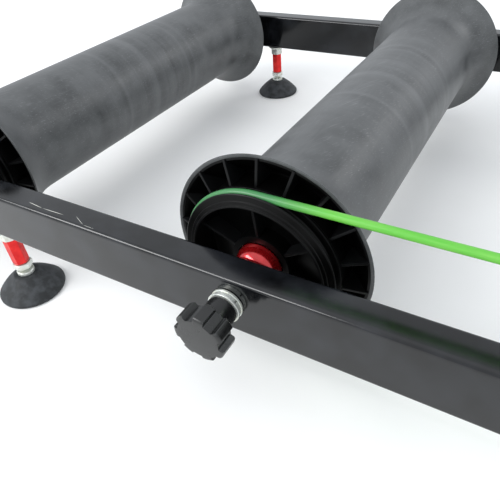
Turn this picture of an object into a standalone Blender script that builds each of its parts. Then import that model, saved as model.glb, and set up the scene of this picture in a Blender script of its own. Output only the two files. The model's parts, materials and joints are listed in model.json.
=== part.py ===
"""Roller trainer for a bicycle: three flanged drums between two side rails.

Units are metres and +Z is up. The origin is on the floor, at the middle of the rails' length and
of the width between them. +X points to the front, where the single front drum is, and -Y is the
side that carries the drive belt.
"""
import math

import bmesh
import bpy
import numpy as np
from mathutils import Matrix, Vector

GAP = 0.0003                  # clearance between pieces that touch
OVERRUN = 0.010               # how far a cutting shape runs past what it cuts

# drums
DRUM_LENGTH = 0.380
WAIST_RADIUS = 0.0462
FLANGE_RADIUS = WAIST_RADIUS + 0.0208
FLARE_LENGTH = 0.042
FLARE_POWER = 2.5
DRUM_WALL = 0.0022
DRUM_SIDES = 18
DRUM_TURN = math.radians(3.5)  # where the drums have come to rest
REAR_PITCH = 0.280            # rear axle to middle axle
FRONT_PITCH = 0.870           # middle axle to front axle

# side rails: rectangular steel tube on its narrow edge
RAIL_OVERHANG = 0.075         # beyond the outer axles
RAIL_LENGTH = REAR_PITCH + FRONT_PITCH + 2 * RAIL_OVERHANG
RAIL_HEIGHT = 0.040
RAIL_WIDTH = 0.020
RAIL_WALL = 0.0015
RAIL_CORNER = 0.003
RIM_TO_RAIL = 0.027
RAIL_SPACING = DRUM_LENGTH + 2 * RIM_TO_RAIL + RAIL_WIDTH    # centre to centre
AXLE_ABOVE_RAIL_MIDDLE = 0.0024
PLUG_FLANGE = 0.003
PLUG_DEPTH = 0.012
PLUG_CORNER = 0.001

# drive belt
BELT_RADIUS = 0.0024
BELT_SEAT = BELT_RADIUS + 0.0006    # belt centre above the groove's bottom
BELT_ARC_STEPS = 14

# bearings, axles and what holds them
AXLE_RADIUS = 0.005
AXLE_CHAMFER = 0.0008
BEARING_RADIUS = AXLE_RADIUS + 0.010
BEARING_WIDTH = 0.009
BEARING_U = 0.001
SPACER_RADIUS = BEARING_RADIUS - 0.0004
SPACER_NOSE_RADIUS = AXLE_RADIUS + 0.003
SPACER_DOME_HEIGHT = 0.011
SPACER_DOME_ANGLES = (0.0, 0.6, 1.1)
NUT_ACROSS_FLATS = 0.017
NUT_HEIGHT = 0.008
AXLE_NUT_PROUD = 0.0025

# end caps, with u measured outboard from the drum's rim plane
PULLEY_RADIUS = WAIST_RADIUS - 0.0002      # bottom of the belt groove
GROOVE_U = 0.0115                          # middle of the belt groove
GROOVE_HALF_WIDTH = BELT_RADIUS - 0.0005   # along its bottom
GROOVE_BACK_RISE = 0.0043                  # crest towards the drum, above the bottom
GROOVE_BACK_HALF = BELT_RADIUS + 0.0007
GROOVE_FRONT_RISE = 0.0028                 # crest towards the rail
GROOVE_FRONT_HALF = BELT_RADIUS + 0.0012
RING_INNER_RADIUS = PULLEY_RADIUS - 0.0070
RING_OUTER_RADIUS = PULLEY_RADIUS + 0.0036
RING_LEAN = 0.0036                         # the ring's inner wall opens towards its front
RING_FRONT_U = GROOVE_U + 0.0058
RING_STEP = 0.001                          # the ring's root, from which its back is relieved
RING_BACK_RELIEF = 0.003
CAP_DEPTH = 0.014
CAP_WALL = 0.0016
CAP_FLOOR = 0.002
SEAT_STATION = 0.005
RECESS_FLOOR_U = 0.0005
HUB_RADIUS = BEARING_RADIUS + 0.0042
HUB_DRAFT = 0.0006
HUB_FRONT_U = 0.0108
HUB_BACK_U = -0.003
BEARING_STOP = 0.0025                      # hole behind the bearing, above the axle's radius
RIB_COUNT = 18
RIB_THICKNESS = 0.0018
RIB_START = math.radians(10)   # ribs stand on the middle of the drum's facets
RIB_FRONT_U = 0.0049
SPOKE_COUNT = 6
SPOKE_START = math.radians(30)
SPOKE_U = 0.0118
SPOKE_LEAN = 0.0034
ROOT = 0.001                   # how far ribs and spokes run into the walls they join

# clamp knobs on the middle axle
WASHER_STACK = 0.005
WASHER_RADIUS = AXLE_RADIUS + 0.005
NECK_RADIUS = AXLE_RADIUS + 0.004
NECK_LENGTH = 0.012
HEAD_LENGTH = 0.012
HEAD_RADIUS = 0.0157
HEAD_WAIST_RADIUS = 0.0127
HEAD_LOBES = 7
HEAD_START = math.radians(30.0)
TIP_SHARE = 0.16               # half of a lobe's tip, as a share of the pitch
FLUTE_SHARE = 0.36             # where a flute's bottom begins
STUD_IN_KNOB = 0.0115
KNOB_BORE_DEPTH = STUD_IN_KNOB + 0.003

# levelling feet
FOOT_BEHIND_MIDDLE = 0.215
FOOT_BEHIND_FRONT = 0.070
PAD_RADIUS = 0.027
PAD_TOP_RADIUS = 0.0105
PAD_HEIGHT = 0.018
PAD_EDGE = 0.003
PAD_ROUND = 0.001
PAD_SOCKET_DEPTH = 0.006
COLLAR_RADIUS = 0.0070
COLLAR_HEIGHT = 0.0035
FOOT_STUD_RADIUS = 0.004
FOOT_NUT_ACROSS_FLATS = 0.014
LOCK_NUT_GAP = 0.0028         # free thread between the collar and the lock nut
LOCK_NUT_HEIGHT = 0.005
COUPLER_ACROSS_FLATS = 0.0115
COUPLER_LENGTH = 0.0245
BOLT_IN_COUPLER = 0.006
STUD_IN_COUPLER = COUPLER_LENGTH - BOLT_IN_COUPLER - 0.0025
BOLT_HEAD = 0.010             # hex and flange together
FLANGE_THICKNESS = 0.002
FLANGE_NUT_RADIUS = 0.0105
BOLT_IN_RAIL = 0.008

# the foot's stack carries the rail
COLLAR_Z = PAD_HEIGHT + GAP
LOCK_NUT_Z = COLLAR_Z + COLLAR_HEIGHT + LOCK_NUT_GAP
COUPLER_Z = LOCK_NUT_Z + LOCK_NUT_HEIGHT + GAP
BOLT_Z = COUPLER_Z + COUPLER_LENGTH + GAP
RAIL_BOTTOM = BOLT_Z + BOLT_HEAD + GAP

REAR_AXLE_X = -(REAR_PITCH + FRONT_PITCH) / 2
AXLE_Z = RAIL_BOTTOM + RAIL_HEIGHT / 2 + AXLE_ABOVE_RAIL_MIDDLE
MIDDLE_AXLE_X = REAR_AXLE_X + REAR_PITCH
FRONT_AXLE_X = MIDDLE_AXLE_X + FRONT_PITCH
AXLES = {"rear": REAR_AXLE_X, "middle": MIDDLE_AXLE_X, "front": FRONT_AXLE_X}
SIDES = {"near": -1, "far": 1}
RIM_Y = DRUM_LENGTH / 2
RAIL_INNER_Y = RAIL_SPACING / 2 - RAIL_WIDTH / 2
RAIL_OUTER_Y = RAIL_SPACING / 2 + RAIL_WIDTH / 2
SPACER_END_U = RAIL_INNER_Y - RIM_Y - GAP
FOOT_X = {"rear": MIDDLE_AXLE_X - FOOT_BEHIND_MIDDLE, "front": FRONT_AXLE_X - FOOT_BEHIND_FRONT}

FINISHES = {
    "black_paint": ((0.045, 0.047, 0.050), 0.30, 0.0),
    "black_plastic": ((0.012, 0.012, 0.013), 0.45, 0.0),
    "drum_skin": ((0.115, 0.120, 0.125), 0.60, 0.0),
    "red_anodised": ((0.600, 0.020, 0.020), 0.25, 0.9),
    "zinc": ((0.600, 0.600, 0.570), 0.35, 1.0),
    "bearing_steel": ((0.450, 0.450, 0.460), 0.25, 1.0),
    "green_belt": ((0.080, 0.680, 0.110), 0.40, 0.0),
    "rubber": ((0.090, 0.093, 0.098), 0.75, 0.0),
}


def clear_scene():
    for obj in list(bpy.data.objects):
        bpy.data.objects.remove(obj, do_unlink=True)


def finish(name):
    found = bpy.data.materials.get(name)
    if found:
        return found
    colour, roughness, metallic = FINISHES[name]
    made = bpy.data.materials.new(name)
    made.use_nodes = True
    shader = made.node_tree.nodes["Principled BSDF"]
    shader.inputs["Base Color"].default_value = (*colour, 1.0)
    shader.inputs["Roughness"].default_value = roughness
    shader.inputs["Metallic"].default_value = metallic
    return made


def add_part(name, mesh, finish_name, place=Matrix.Identity(4), parent=None):
    part = bpy.data.objects.new(name, mesh)
    mesh.materials.clear()
    mesh.materials.append(finish(finish_name))
    bpy.context.scene.collection.objects.link(part)
    part.parent = parent
    part.matrix_local = place
    return part


def add_empty(name, place, turn=0.0):
    empty = bpy.data.objects.new(name, None)
    empty.location = place
    empty.rotation_euler = (0, -turn, 0)
    bpy.context.scene.collection.objects.link(empty)
    return empty


def to_mesh(bm, name, sharp_degrees=35):
    """Close up a bmesh, point its faces outwards and shade its round parts smooth."""
    bmesh.ops.remove_doubles(bm, verts=bm.verts, dist=1e-6)
    bmesh.ops.recalc_face_normals(bm, faces=bm.faces)
    mesh = bpy.data.meshes.new(name)
    bm.to_mesh(mesh)
    bm.free()
    mesh.shade_smooth()
    mesh.set_sharp_from_angle(angle=math.radians(sharp_degrees))
    return mesh


def lathe(name, profile, sides):
    """Turn a closed outline of (radius, height) points round the Z axis."""
    bm = bmesh.new()
    verts = [bm.verts.new((radius, 0.0, height)) for radius, height in profile]
    edges = [bm.edges.new((verts[i - 1], verts[i])) for i in range(len(verts))]
    bmesh.ops.spin(bm, geom=verts + edges, cent=(0, 0, 0), axis=(0, 0, 1),
                   angle=math.tau, steps=sides, use_merge=True)
    return to_mesh(bm, name)


def prism(name, outline, low, high):
    """Raise a closed (x, y) outline from one height to another."""
    bm = bmesh.new()
    base = bm.faces.new([bm.verts.new((x, y, low)) for x, y in outline])
    raised = bmesh.ops.extrude_face_region(bm, geom=[base])
    top = [item for item in raised["geom"] if isinstance(item, bmesh.types.BMVert)]
    bmesh.ops.translate(bm, verts=top, vec=(0, 0, high - low))
    return to_mesh(bm, name)


def circle(radius, sides):
    angles = [math.tau * i / sides for i in range(sides)]
    return [(radius * math.cos(a), radius * math.sin(a)) for a in angles]


def rounded_rectangle(width, height, corner, steps=3):
    """Corner arcs of a rectangle centred on the origin."""
    points = []
    for quarter, (sx, sy) in enumerate(((1, 1), (-1, 1), (-1, -1), (1, -1))):
        cx, cy = sx * (width / 2 - corner), sy * (height / 2 - corner)
        for step in range(steps + 1):
            angle = math.pi / 2 * (quarter + step / steps)
            points.append((cx + corner * math.cos(angle), cy + corner * math.sin(angle)))
    return points


def combined(name, base, others):
    """Apply a list of (mesh, operation) Booleans to a mesh."""
    holder = bpy.data.objects.new(name, base)
    bpy.context.scene.collection.objects.link(holder)
    tools = []
    for mesh, operation in others:
        tool = bpy.data.objects.new(name + "_tool", mesh)
        bpy.context.scene.collection.objects.link(tool)
        tool.hide_render = True
        tool.display_type = "WIRE"
        modifier = holder.modifiers.new("combine", "BOOLEAN")
        modifier.operation = operation
        modifier.object = tool
        tools.append(tool)
    graph = bpy.context.evaluated_depsgraph_get()
    graph.update()
    result = bpy.data.meshes.new_from_object(holder.evaluated_get(graph))
    result.name = name
    for obj in [holder] + tools:
        bpy.data.objects.remove(obj, do_unlink=True)
    result.shade_smooth()
    result.set_sharp_from_angle(angle=math.radians(35))
    return result


def outboard(side, distance=0.0):
    """Place that turns a piece's own +Z outwards on that side, a distance from the centre plane."""
    turn = Matrix.Rotation(-side * math.pi / 2, 4, "X")
    return Matrix.Translation((0, side * distance, 0)) @ turn


def hexagon(across_flats):
    return circle(across_flats / math.sqrt(3), 6)


def flare(distance):
    """Drum's outer radius at a distance inwards from its rim."""
    rise = max(0.0, 1 - distance / FLARE_LENGTH) ** FLARE_POWER
    return WAIST_RADIUS + (FLANGE_RADIUS - WAIST_RADIUS) * rise


FLARE_STATIONS = [0.0, SEAT_STATION, CAP_DEPTH, 0.43 * FLARE_LENGTH, 0.67 * FLARE_LENGTH, FLARE_LENGTH]


def cap_outer(distance):
    """Radius of an end cap that seats in the drum's mouth, facet to facet."""
    radii = [flare(station) - DRUM_WALL for station in FLARE_STATIONS]
    return float(np.interp(distance, FLARE_STATIONS, radii)) - GAP


def rib_reach(distance):
    """Radius inside an end cap's outer wall that its facets never cut back to."""
    return cap_outer(distance) * math.cos(math.pi / DRUM_SIDES) - GAP


# ---------------------------------------------------------------- meshes used more than once

def drum_shell_mesh():
    outer = [(flare(s), RIM_Y - s) for s in FLARE_STATIONS]
    outer += [(radius, -height) for radius, height in reversed(outer)]
    inner = [(radius - DRUM_WALL, height) for radius, height in reversed(outer)]
    return lathe("drum_shell", outer + inner, DRUM_SIDES)


def spokes_mesh(name, count, start, side_view, thickness):
    """Thin radial plates, each the same (radius, height) outline, set round the Z axis."""
    bm = bmesh.new()
    for i in range(count):
        turn = Matrix.Rotation(start + math.tau * i / count, 4, "Z")
        ends = []
        for y in (-thickness / 2, thickness / 2):
            ends.append([bm.verts.new(turn @ Vector((r, y, u))) for r, u in side_view])
        bm.faces.new(ends[0])
        bm.faces.new(reversed(ends[1]))
        for k in range(len(side_view)):
            bm.faces.new((ends[0][k - 1], ends[0][k], ends[1][k], ends[1][k - 1]))
    return to_mesh(bm, name)


def end_cap_mesh():
    """Ribbed plate in the drum's mouth with a hub for the bearing and a ring with the belt groove."""
    seat = BEARING_RADIUS + GAP
    shoulder = BEARING_U - GAP
    floor = CAP_DEPTH - CAP_FLOOR
    profile = [
        (AXLE_RADIUS + BEARING_STOP, HUB_BACK_U),
        (AXLE_RADIUS + BEARING_STOP, shoulder),
        (seat, shoulder),
        (seat, HUB_FRONT_U),
        (HUB_RADIUS, HUB_FRONT_U),
        (HUB_RADIUS + HUB_DRAFT, RECESS_FLOOR_U),
        (RING_INNER_RADIUS, RECESS_FLOOR_U),
        (RING_INNER_RADIUS + RING_LEAN, RING_FRONT_U),
        (PULLEY_RADIUS + GROOVE_FRONT_RISE, GROOVE_U + GROOVE_FRONT_HALF),
        (PULLEY_RADIUS, GROOVE_U + GROOVE_HALF_WIDTH),
        (PULLEY_RADIUS, GROOVE_U - GROOVE_HALF_WIDTH),
        (PULLEY_RADIUS + GROOVE_BACK_RISE, GROOVE_U - GROOVE_BACK_HALF),
        (RING_OUTER_RADIUS, -floor),
        (cap_outer(floor) - CAP_WALL, -floor),
        (cap_outer(GAP) - CAP_WALL, -GAP),
        (cap_outer(GAP), -GAP),
        (cap_outer(SEAT_STATION), -SEAT_STATION),
        (cap_outer(CAP_DEPTH), -CAP_DEPTH),
        (RING_INNER_RADIUS + RING_STEP, -CAP_DEPTH),
        (RING_INNER_RADIUS - RING_BACK_RELIEF, HUB_BACK_U),
    ]
    rib_view = [(RING_OUTER_RADIUS - ROOT, RIB_FRONT_U)]
    rib_view += [(rib_reach(s), -s) for s in (ROOT / 2, SEAT_STATION, floor + ROOT)]
    rib_view.append((RING_OUTER_RADIUS - ROOT, -floor - ROOT))
    spoke_view = [
        (HUB_RADIUS - ROOT, HUB_FRONT_U - ROOT),
        (RING_INNER_RADIUS + SPOKE_LEAN, SPOKE_U),
        (RING_INNER_RADIUS + ROOT, RECESS_FLOOR_U - ROOT),
        (HUB_RADIUS - ROOT, RECESS_FLOOR_U - ROOT),
    ]
    ribs = spokes_mesh("ribs", RIB_COUNT, RIB_START, rib_view, RIB_THICKNESS)
    spokes = spokes_mesh("spokes", SPOKE_COUNT, SPOKE_START, spoke_view, RIB_THICKNESS)
    body = lathe("end_cap", profile, DRUM_SIDES)
    return combined("end_cap", body, [(ribs, "UNION"), (spokes, "UNION")])


def bearing_mesh():
    bore = AXLE_RADIUS + GAP
    low, high = BEARING_U, BEARING_U + BEARING_WIDTH
    return lathe("bearing", [(bore, low), (BEARING_RADIUS, low), (BEARING_RADIUS, high), (bore, high)], 12)


def spacer_mesh():
    """Domed spacer that fills from the bearing's inner ring to the rail."""
    bore = AXLE_RADIUS + GAP
    foot = BEARING_U + BEARING_WIDTH + GAP
    base = HUB_FRONT_U + GAP
    crown = base + SPACER_DOME_HEIGHT
    dome = []
    for angle in SPACER_DOME_ANGLES:
        radius = SPACER_NOSE_RADIUS + (SPACER_RADIUS - SPACER_NOSE_RADIUS) * math.cos(angle)
        dome.append((radius, base + (crown - base) * math.sin(angle)))
    profile = [(bore, foot), (SPACER_NOSE_RADIUS, foot), (SPACER_NOSE_RADIUS, base)] + dome
    profile += [(SPACER_NOSE_RADIUS, crown), (SPACER_NOSE_RADIUS, SPACER_END_U), (bore, SPACER_END_U)]
    return lathe("hub_spacer", profile, 12)


def nut_mesh(name, across_flats, height, bore_radius):
    bore = prism(name + "_bore", circle(bore_radius, 12), -height, 2 * height)
    return combined(name, prism(name, hexagon(across_flats), 0.0, height), [(bore, "DIFFERENCE")])


def axle_mesh(half_length):
    end_radius = AXLE_RADIUS - AXLE_CHAMFER
    shoulder = half_length - AXLE_CHAMFER
    profile = [(0.0, -half_length), (end_radius, -half_length), (AXLE_RADIUS, -shoulder),
               (AXLE_RADIUS, shoulder), (end_radius, half_length), (0.0, half_length)]
    bm = bmesh.new()
    verts = [bm.verts.new((radius, 0.0, height)) for radius, height in profile]
    edges = [bm.edges.new((verts[i], verts[i + 1])) for i in range(len(verts) - 1)]
    bmesh.ops.spin(bm, geom=verts + edges, cent=(0, 0, 0), axis=(0, 0, 1),
                   angle=math.tau, steps=12, use_merge=True)
    return to_mesh(bm, "axle")


def knob_outline():
    """Lobed outline: short arcs at the tips with scooped flutes between them."""
    points = []
    pitch = math.tau / HEAD_LOBES
    steps = ((-TIP_SHARE, HEAD_RADIUS), (TIP_SHARE, HEAD_RADIUS),
             (FLUTE_SHARE, HEAD_WAIST_RADIUS), (1 - FLUTE_SHARE, HEAD_WAIST_RADIUS))
    for lobe in range(HEAD_LOBES):
        for share, radius in steps:
            angle = HEAD_START + pitch * (lobe + share)
            points.append((radius * math.cos(angle), radius * math.sin(angle)))
    return points


def knob_mesh():
    head = prism("knob_head", knob_outline(), NECK_LENGTH, NECK_LENGTH + HEAD_LENGTH)
    neck = prism("knob_neck", circle(NECK_RADIUS, 16), 0.0, NECK_LENGTH + HEAD_LENGTH / 2)
    bore = prism("knob_bore", circle(AXLE_RADIUS + GAP, 12), -NECK_LENGTH, KNOB_BORE_DEPTH)
    return combined("clamp_knob", head, [(neck, "UNION"), (bore, "DIFFERENCE")])


def washer_mesh():
    bore = AXLE_RADIUS + GAP
    return lathe("washers", [(bore, 0), (WASHER_RADIUS, 0), (WASHER_RADIUS, WASHER_STACK),
                             (bore, WASHER_STACK)], 12)


def copy_of(mesh, name):
    """The same shape with its own material slot."""
    twin = mesh.copy()
    twin.name = name
    return twin


# ---------------------------------------------------------------- assemblies

def build_rails():
    rail_middle_z = RAIL_BOTTOM + RAIL_HEIGHT / 2
    half = RAIL_LENGTH / 2
    across = Matrix.Rotation(math.pi / 2, 4, "Y")
    section = rounded_rectangle(RAIL_HEIGHT, RAIL_WIDTH, RAIL_CORNER)
    hollow = rounded_rectangle(RAIL_HEIGHT - 2 * RAIL_WALL, RAIL_WIDTH - 2 * RAIL_WALL,
                               RAIL_CORNER - RAIL_WALL, 1)
    for side_name, side in SIDES.items():
        tube = prism("tube", section, -half, half)
        cuts = [prism("hollow", hollow, -half - OVERRUN, half + OVERRUN)]
        for x in AXLES.values():
            # the tube's own +X is down and +Z is forward
            hole = prism("axle_hole", circle(AXLE_RADIUS + GAP, 12), -RAIL_WIDTH, RAIL_WIDTH)
            hole.transform(Matrix.Translation((rail_middle_z - AXLE_Z, 0, x))
                           @ Matrix.Rotation(math.pi / 2, 4, "X"))
            cuts.append(hole)
        for x in FOOT_X.values():
            hole = prism("foot_hole", circle(FOOT_STUD_RADIUS + GAP, 12), 0.0, RAIL_HEIGHT)
            hole.transform(Matrix.Translation((0, 0, x)) @ Matrix.Rotation(math.pi / 2, 4, "Y"))
            cuts.append(hole)
        mesh = combined("rail_" + side_name, tube, [(cut, "DIFFERENCE") for cut in cuts])
        middle = (0, side * RAIL_SPACING / 2, rail_middle_z)
        add_part("rail_" + side_name, mesh, "black_paint", Matrix.Translation(middle) @ across)
        for end_name, end in (("rear", -1), ("front", 1)):
            add_rail_plug("rail_plug_%s_%s" % (side_name, end_name), middle, end)


def add_rail_plug(name, rail_middle, end):
    """Plastic plug: an outer plate with a smaller block pushed into the tube."""
    clear = 2 * (RAIL_WALL + GAP)
    plate = prism("plate", rounded_rectangle(RAIL_HEIGHT, RAIL_WIDTH, RAIL_CORNER), GAP, PLUG_FLANGE + GAP)
    block = prism("block", rounded_rectangle(RAIL_HEIGHT - clear, RAIL_WIDTH - clear, PLUG_CORNER, 1),
                  -PLUG_DEPTH, PLUG_FLANGE / 2)
    mesh = combined(name, plate, [(block, "UNION")])
    x, y, z = rail_middle
    outwards = Matrix.Rotation(end * math.pi / 2, 4, "Y")
    place = Matrix.Translation((x + end * RAIL_LENGTH / 2, y, z)) @ outwards
    add_part(name, mesh, "black_plastic", place)


def build_drums():
    shell, cap, bearing, spacer = drum_shell_mesh(), end_cap_mesh(), bearing_mesh(), spacer_mesh()
    nut = nut_mesh("axle_nut", NUT_ACROSS_FLATS, NUT_HEIGHT, AXLE_RADIUS + GAP)
    for drum, x in AXLES.items():
        centre = add_empty(drum + "_drum_centre", (x, 0, AXLE_Z), DRUM_TURN)
        fixed = add_empty(drum + "_axle_centre", (x, 0, AXLE_Z))
        proud = STUD_IN_KNOB + WASHER_STACK + 2 * GAP
        if drum != "middle":
            proud = NUT_HEIGHT + GAP + AXLE_NUT_PROUD
        add_part(drum + "_axle", axle_mesh(RAIL_OUTER_Y + proud), "zinc", outboard(1), fixed)
        name = drum + "_drum_shell"
        add_part(name, copy_of(shell, name), "drum_skin", outboard(1), centre)
        for side_name, side in SIDES.items():
            rim = outboard(side, RIM_Y)
            for kind, mesh, look, parent in (("end_cap", cap, "black_plastic", centre),
                                             ("bearing", bearing, "bearing_steel", centre),
                                             ("hub_spacer", spacer, "red_anodised", fixed)):
                name = "%s_%s_%s" % (drum, kind, side_name)
                add_part(name, copy_of(mesh, name), look, rim, parent)
            if drum != "middle":
                name = "%s_axle_nut_%s" % (drum, side_name)
                add_part(name, copy_of(nut, name), "zinc", outboard(side, RAIL_OUTER_Y + GAP), fixed)


def build_knobs():
    knob, washers = knob_mesh(), washer_mesh()
    for side_name, side in SIDES.items():
        centre = add_empty("knob_axis_" + side_name, (MIDDLE_AXLE_X, 0, AXLE_Z))
        add_part("knob_washers_" + side_name, copy_of(washers, "knob_washers_" + side_name), "zinc",
                 outboard(side, RAIL_OUTER_Y + GAP), centre)
        add_part("clamp_knob_" + side_name, copy_of(knob, "clamp_knob_" + side_name), "black_plastic",
                 outboard(side, RAIL_OUTER_Y + WASHER_STACK + 2 * GAP), centre)


def build_belt():
    """Endless round belt: a half turn round each pulley joined by two straight runs."""
    turn_radius = PULLEY_RADIUS + BELT_SEAT
    points = []
    for x, start in ((MIDDLE_AXLE_X, math.pi / 2), (FRONT_AXLE_X, -math.pi / 2)):
        for step in range(BELT_ARC_STEPS + 1):
            angle = start + math.pi * step / BELT_ARC_STEPS
            points.append((x + turn_radius * math.cos(angle), AXLE_Z + turn_radius * math.sin(angle)))
    curve = bpy.data.curves.new("drive_belt", "CURVE")
    curve.dimensions = "3D"
    curve.bevel_depth = BELT_RADIUS
    curve.bevel_resolution = 2
    curve.render_resolution_u = 0
    spline = curve.splines.new("POLY")
    spline.points.add(len(points) - 1)
    for point, (x, z) in zip(spline.points, points):
        point.co = (x, -(RIM_Y + GROOVE_U), z, 1.0)
    spline.use_cyclic_u = True
    curve.materials.append(finish("green_belt"))
    belt = bpy.data.objects.new("drive_belt", curve)
    bpy.context.scene.collection.objects.link(belt)


def foot_meshes():
    socket = FOOT_STUD_RADIUS + GAP
    socket_z = PAD_HEIGHT - PAD_SOCKET_DEPTH
    pad = lathe("foot_pad", [
        (0.0, 0.0), (PAD_RADIUS - PAD_ROUND, 0.0), (PAD_RADIUS, PAD_ROUND), (PAD_RADIUS, PAD_EDGE),
        (PAD_TOP_RADIUS, PAD_HEIGHT), (socket, PAD_HEIGHT), (socket, socket_z), (0.0, socket_z)], 16)
    stud_bottom, stud_top = socket_z + GAP, COUPLER_Z + STUD_IN_COUPLER
    collar_top = COLLAR_Z + COLLAR_HEIGHT
    stud = lathe("foot_stud", [
        (0.0, stud_bottom), (FOOT_STUD_RADIUS, stud_bottom), (FOOT_STUD_RADIUS, COLLAR_Z),
        (COLLAR_RADIUS, COLLAR_Z), (COLLAR_RADIUS, collar_top), (FOOT_STUD_RADIUS, collar_top),
        (FOOT_STUD_RADIUS, stud_top), (0.0, stud_top)], 12)
    lock_nut = nut_mesh("foot_lock_nut", FOOT_NUT_ACROSS_FLATS, LOCK_NUT_HEIGHT, socket)
    lock_nut.transform(Matrix.Translation((0, 0, LOCK_NUT_Z)))
    coupler = nut_mesh("foot_coupler", COUPLER_ACROSS_FLATS, COUPLER_LENGTH, socket)
    coupler.transform(Matrix.Translation((0, 0, COUPLER_Z)))
    return (("foot_pad", pad, "rubber"), ("foot_stud", stud, "zinc"), ("foot_lock_nut", lock_nut, "zinc"),
            ("foot_coupler", coupler, "red_anodised"), ("foot_bolt", flange_bolt_mesh(), "zinc"))


def flange_bolt_mesh():
    """Flanged hex body under the rail, with studs up through the rail's wall and down the coupler."""
    seat = RAIL_BOTTOM - GAP
    body = prism("foot_bolt", hexagon(FOOT_NUT_ACROSS_FLATS), BOLT_Z, seat - FLANGE_THICKNESS / 2)
    flange = prism("bolt_flange", circle(FLANGE_NUT_RADIUS, 16), seat - FLANGE_THICKNESS, seat)
    stud = prism("bolt_stud", circle(FOOT_STUD_RADIUS, 12),
                 BOLT_Z - BOLT_IN_COUPLER, RAIL_BOTTOM + BOLT_IN_RAIL)
    return combined("foot_bolt", body, [(flange, "UNION"), (stud, "UNION")])


def build_feet():
    pieces = foot_meshes()
    for side_name, side in SIDES.items():
        for end_name, x in FOOT_X.items():
            centre = add_empty("foot_%s_%s" % (side_name, end_name), (x, side * RAIL_SPACING / 2, 0))
            for kind, mesh, look in pieces:
                name = "%s_%s_%s" % (kind, side_name, end_name)
                add_part(name, copy_of(mesh, name), look, Matrix.Identity(4), centre)


clear_scene()
build_rails()
build_drums()
build_knobs()
build_belt()
build_feet()
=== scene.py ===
import json
import math

import bpy
from mathutils import Matrix, Vector


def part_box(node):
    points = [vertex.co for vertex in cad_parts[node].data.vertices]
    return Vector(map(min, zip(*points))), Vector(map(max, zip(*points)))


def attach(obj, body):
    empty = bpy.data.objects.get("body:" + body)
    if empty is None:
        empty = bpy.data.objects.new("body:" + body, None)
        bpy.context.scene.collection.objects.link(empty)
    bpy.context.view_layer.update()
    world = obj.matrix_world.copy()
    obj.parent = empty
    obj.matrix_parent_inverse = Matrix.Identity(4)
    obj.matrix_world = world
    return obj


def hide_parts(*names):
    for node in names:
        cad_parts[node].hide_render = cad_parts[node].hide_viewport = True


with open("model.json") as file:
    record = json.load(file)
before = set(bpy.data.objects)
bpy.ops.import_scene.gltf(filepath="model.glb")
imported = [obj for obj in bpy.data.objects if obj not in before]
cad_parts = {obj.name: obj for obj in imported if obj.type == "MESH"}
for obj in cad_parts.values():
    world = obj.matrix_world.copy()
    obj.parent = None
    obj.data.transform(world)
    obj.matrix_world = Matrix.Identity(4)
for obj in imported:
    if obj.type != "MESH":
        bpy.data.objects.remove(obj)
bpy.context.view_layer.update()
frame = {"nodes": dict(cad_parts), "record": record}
print("frame loaded:", len(frame["nodes"]), "nodes")

mm = 0.001
clearance = 0.3                     # mm between pieces that touch
drumTurn = math.radians(3.5)        # where the drums have come to rest
sides = {"near": -1, "far": 1}
bodyWith = {}
for body, members in frame["record"]["behaviour"]["bodies"].items():
    for member in members:
        bodyWith[member] = body


def middleOf(node):
    low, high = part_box(node)
    return (low + high) / 2


# places taken from the frame
axleAt = {drum: middleOf(drum + "_axle") for drum in ("rear", "middle", "front")}
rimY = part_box("middle_drum_shell")[1].y
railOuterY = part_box("rail_far")[1].y
railInnerU = (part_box("rail_far")[0].y - rimY) / mm


# modelling helpers

def makeActive(piece):
    bpy.ops.object.select_all(action="DESELECT")
    piece.select_set(True)
    bpy.context.view_layer.objects.active = piece


def drawOutline(name, corners, closed=True):
    # one corner is pulled along the outline; corners are in mm
    bpy.ops.object.select_all(action="DESELECT")
    bpy.ops.mesh.primitive_plane_add(size=mm)
    piece = bpy.context.object
    piece.name = name
    bpy.ops.object.mode_set(mode="EDIT")
    bpy.ops.mesh.merge(type="CENTER")
    here = Vector((0, 0, 0))
    path = list(corners) + ([corners[0]] if closed else [])
    for number, corner in enumerate(path):
        step = Vector(corner) * mm - here
        if number == 0:
            bpy.ops.transform.translate(value=step)
        else:
            bpy.ops.mesh.extrude_region_move(TRANSFORM_OT_translate={"value": step})
        here = here + step
    bpy.ops.mesh.select_all(action="SELECT")
    bpy.ops.mesh.remove_doubles(threshold=0.002 * mm)
    return piece


def turned(name, outline, steps=96, closed=True):
    # outline of (radius, height) in mm, spun about its own Z
    piece = drawOutline(name, [(radius, 0, height) for radius, height in outline], closed)
    bpy.ops.mesh.spin(steps=steps, angle=math.tau, center=(0, 0, 0), axis=(0, 0, 1))
    bpy.ops.mesh.select_all(action="SELECT")
    bpy.ops.mesh.remove_doubles(threshold=0.002 * mm)
    bpy.ops.mesh.normals_make_consistent(inside=False)
    bpy.ops.object.mode_set(mode="OBJECT")
    return piece


def raised(name, outline, low, layers):
    # a filled (x, y) outline pulled up layer by layer: each layer is (height, scale)
    piece = drawOutline(name, [(x, y, low) for x, y in outline])
    bpy.ops.mesh.select_all(action="SELECT")
    bpy.ops.mesh.edge_face_add()
    height, scale = low, 1.0
    for nextHeight, nextScale in layers:
        up = (0, 0, (nextHeight - height) * mm)
        bpy.ops.mesh.extrude_region_move(TRANSFORM_OT_translate={"value": up})
        ratio = nextScale / scale
        bpy.ops.transform.resize(value=(ratio, ratio, 1), center_override=(0, 0, 0))
        height, scale = nextHeight, nextScale
    bpy.ops.mesh.select_all(action="SELECT")
    bpy.ops.mesh.normals_make_consistent(inside=False)
    bpy.ops.object.mode_set(mode="OBJECT")
    return piece


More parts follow.
